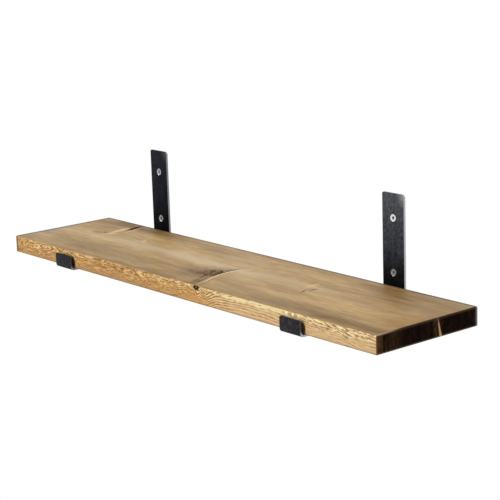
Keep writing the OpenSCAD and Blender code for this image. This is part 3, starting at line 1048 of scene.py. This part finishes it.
def cutRecess(piece, screw, finish):
    # cross recess: two blades that narrow with depth
    depth = 0.7 * (screw["headRadius"] - screw["neckRadius"])
    edit(piece)
    # painted shade: the middle of the head and the faces cut by the blades get the darker zinc
    recessShade = recessShadeShare * screw["recessSpan"]
    pick(piece, "FACE", lambda f: f.normal.z < -0.9 and f.calc_center_median().xy.length < recessShade)
    piece.active_material_index = 1
    bpy.ops.object.material_slot_assign()
    deselectAll()
    for turn in (0, 90):
        bpy.ops.mesh.primitive_cube_add(size=1, location=(0, 0, depth / 2 - 0.0005),
                                        scale=(screw["recessSpan"], screw["recessWidth"], depth + 0.001))
        blade = bpy.context.object
        bakePlace()
        edit(blade)
        pick(blade, "FACE", lambda f: f.normal.z > 0.9)
        bpy.ops.transform.resize(value=(0.4, 0.8, 1))
        bpy.ops.mesh.select_all(action="SELECT")
        bpy.ops.transform.rotate(value=math.radians(turn), orient_axis="Z", center_override=(0, 0, 0))
        deselectAll()
        blade.data.materials.append(finish)
        applyModifier(piece, "BOOLEAN", {"operation": "DIFFERENCE", "object": blade, "solver": "EXACT",
                                         "material_mode": "TRANSFER"})
        bpy.data.objects.remove(blade)


def makeScrewForm(screw, finish, recessShadeZinc):
    # a half outline drawn out corner by corner and spun round its axis, head at the origin, point along +Z
    cone, chamfer = screw["headRadius"] - screw["neckRadius"], 0.0001
    outline = [(0, 0), (recessShadeShare * screw["recessSpan"], 0), (screw["headRadius"] - chamfer, 0),
               (screw["headRadius"], chamfer), (screw["headRadius"], screw["rim"]),
               (screw["neckRadius"], screw["rim"] + cone),
               (screw["neckRadius"], screw["threadStart"] - chamfer / 2)]
    step = screw["pitch"] / threadSteps
    rings = int((screw["length"] - screw["threadStart"]) / step)
    outline += [(screw["coreRadius"], screw["threadStart"] + i * step) for i in range(rings)]
    outline += [(0, screw["length"])]
    deselectAll()
    bpy.ops.mesh.primitive_plane_add(size=0.001, location=(0, 0, 0))
    piece = bpy.context.object
    piece.name = "screwForm"
    edit(piece)
    bpy.ops.mesh.select_mode(type="VERT")
    bpy.ops.mesh.select_all(action="SELECT")
    bpy.ops.mesh.merge(type="CENTER")
    for (radius, along), (nextRadius, nextAlong) in zip(outline, outline[1:]):
        bpy.ops.mesh.extrude_region_move(TRANSFORM_OT_translate={
            "value": (nextRadius - radius, 0, nextAlong - along)})
    bpy.ops.mesh.select_all(action="SELECT")
    bpy.ops.mesh.spin(steps=screw["sides"], angle=2 * math.pi, center=(0, 0, 0), axis=(0, 0, 1))
    bpy.ops.mesh.select_all(action="SELECT")
    bpy.ops.mesh.remove_doubles(threshold=1e-5)
    bpy.ops.mesh.normals_make_consistent(inside=False)
    deselectAll()
    for vertex in piece.data.vertices:
        spot = vertex.co
        if screw["threadStart"] - 1e-6 < spot.z < screw["length"] - 1e-6:
            radius = threadDepth(screw, spot.z, math.atan2(spot.y, spot.x))
            scale = radius / math.hypot(spot.x, spot.y)
            spot.x *= scale
            spot.y *= scale
    piece.data.materials.append(finish)
    piece.data.materials.append(recessShadeZinc)
    cutRecess(piece, screw, recessShadeZinc)
    tidyMesh(piece, 35)
    return piece


def placeScrew(form, name, start, direction, turn, finish):
    piece = form.copy()
    piece.data = form.data.copy()
    piece.data.materials[0] = finish
    scene.collection.objects.link(piece)
    pointing = direction.to_track_quat("Z", "Y").to_matrix().to_4x4()
    piece.data.transform(Matrix.Translation(start) @ pointing @ Matrix.Rotation(math.radians(turn), 4, "Z"))
    settle(piece, name + "_dressed", name)


def makeScrews():
    # one wall screw is painted brighter than the others, a lit copy of the same zinc, and the one under it is
    # darker round its head
    bright = zincPlate("bright zinc plating", zinc["bright"])
    dulled = zincPlate("dulled zinc plating", zinc["dulled"])
    recessShadeZinc = zincPlate("punched zinc", zinc["recessShade"])
    wallForm = makeScrewForm(wallScrew, dulled, recessShadeZinc)
    for key, turn in wallScrew["turns"].items():
        start = boxMiddle("wall_screw_" + key)
        start.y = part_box("wall_screw_" + key)[0].y
        finish = dulled
        # painted light: this head gets the brighter copy
        if key == "right_upper":
            finish = bright
        elif key == "right_lower":
            finish = zincPlate("dulled zinc plating with dirt", zinc["dulled"], tuple(start))
        placeScrew(wallForm, "wall_screw_" + key, start, Vector((0, 1, 0)), turn, finish)
    boardForm = makeScrewForm(boardScrew, dulled, recessShadeZinc)
    for key, turn in boardScrew["turns"].items():
        start = boxMiddle("board_screw_" + key)
        start.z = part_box("board_screw_" + key)[0].z
        placeScrew(boardForm, "board_screw_" + key, start, Vector((0, 0, 1)), turn, dulled)
    bpy.data.objects.remove(wallForm)
    bpy.data.objects.remove(boardForm)


makeScrews()
print("screws made")


studio = {
    "floorSize": 300,
    "floorHeight": -1.5,
    "floorColour": "#e8e8e8",
    "wallSize": 60,
    "wallGap": 0.0002,  # behind the brackets' backs
    "skyLevel": 0.62,
    # level, tilt, turn and spread in degrees: the key from high on the left in front, the fill from the right
    "key": (1.22, 48, -40, 18),
    "fill": (0.5, 60, 75, 60),
}


def makeFloor():
    deselectAll()
    bpy.ops.mesh.primitive_plane_add(size=studio["floorSize"], location=(0, 0, studio["floorHeight"]))
    floor = bpy.context.object
    floor.name = "floor"
    made, tree = startMaterial("pale studio floor")
    light = addNode(tree, "LightPath", {})
    seen = addNode(tree, "Math", {"operation": "MAXIMUM", 0: light, 1: light.node.outputs["Is Glossy Ray"]})
    seen = addNode(tree, "Math", {"operation": "MULTIPLY", 0: seen, 1: 0.3})
    matt = addNode(tree, "BsdfDiffuse", {"Color": toLinear(studio["floorColour"])})
    lift = addNode(tree, "Emission", {"Strength": seen})
    both = addNode(tree, "AddShader", {0: matt, 1: lift})
    # seen from underneath, the floor lets the view through
    under = addNode(tree, "NewGeometry", {}).node.outputs["Backfacing"]
    surface = addNode(tree, "MixShader", {0: under, 1: both, 2: addNode(tree, "BsdfTransparent", {})})
    addNode(tree, "OutputMaterial", {"Surface": surface})
    floor.data.materials.append(made)


def makeWall():
    # the wall that the shelf hangs on: only the eye meets it, and only from the room's side,
    # so it hides what is screwed into it, takes no light, and leaves the back open to view
    deselectAll()
    bpy.ops.mesh.primitive_plane_add(size=studio["wallSize"], location=(0, studio["wallGap"], 0),
                                     rotation=(math.radians(90), 0, 0))
    wall = bpy.context.object
    bakePlace()
    wall.name = "wall"
    made, tree = startMaterial("white wall")
    light = addNode(tree, "LightPath", {})
    behind = addNode(tree, "NewGeometry", {}).node.outputs["Backfacing"]
    seen = addNode(tree, "Math", {"operation": "SUBTRACT", "use_clamp": True, 0: light, 1: behind})
    plain = addNode(tree, "Emission", {"Strength": 1})
    surface = addNode(tree, "MixShader", {0: seen, 1: addNode(tree, "BsdfTransparent", {}), 2: plain})
    addNode(tree, "OutputMaterial", {"Surface": surface})
    wall.data.materials.append(made)


def makeLight():
    sky = bpy.data.worlds.new("studio")
    scene.world = sky
    sky.use_nodes = True
    tree = sky.node_tree
    tree.nodes.clear()
    seen = light = addNode(tree, "LightPath", {})
    for ray in ("Is Glossy Ray", "Is Transmission Ray"):
        seen = addNode(tree, "Math", {"operation": "MAXIMUM", 0: seen, 1: light.node.outputs[ray]})
    level = addNode(tree, "MapRange", {"Value": seen, "To Min": studio["skyLevel"], "To Max": 1})
    glow = addNode(tree, "Background", {"Color": (1, 1, 1, 1), "Strength": level})
    addNode(tree, "OutputWorld", {"Surface": glow})
    for name in ("key", "fill"):
        level, tilt, turn, spread = studio[name]
        deselectAll()
        bpy.ops.object.light_add(type="SUN", rotation=(math.radians(tilt), 0, math.radians(turn)))
        lamp = bpy.context.object
        lamp.name = name
        lamp.data.energy = level
        lamp.data.angle = math.radians(spread)


makeFloor()
makeWall()
makeLight()
scene.view_settings.view_transform = "Standard"
print("floor and light made")
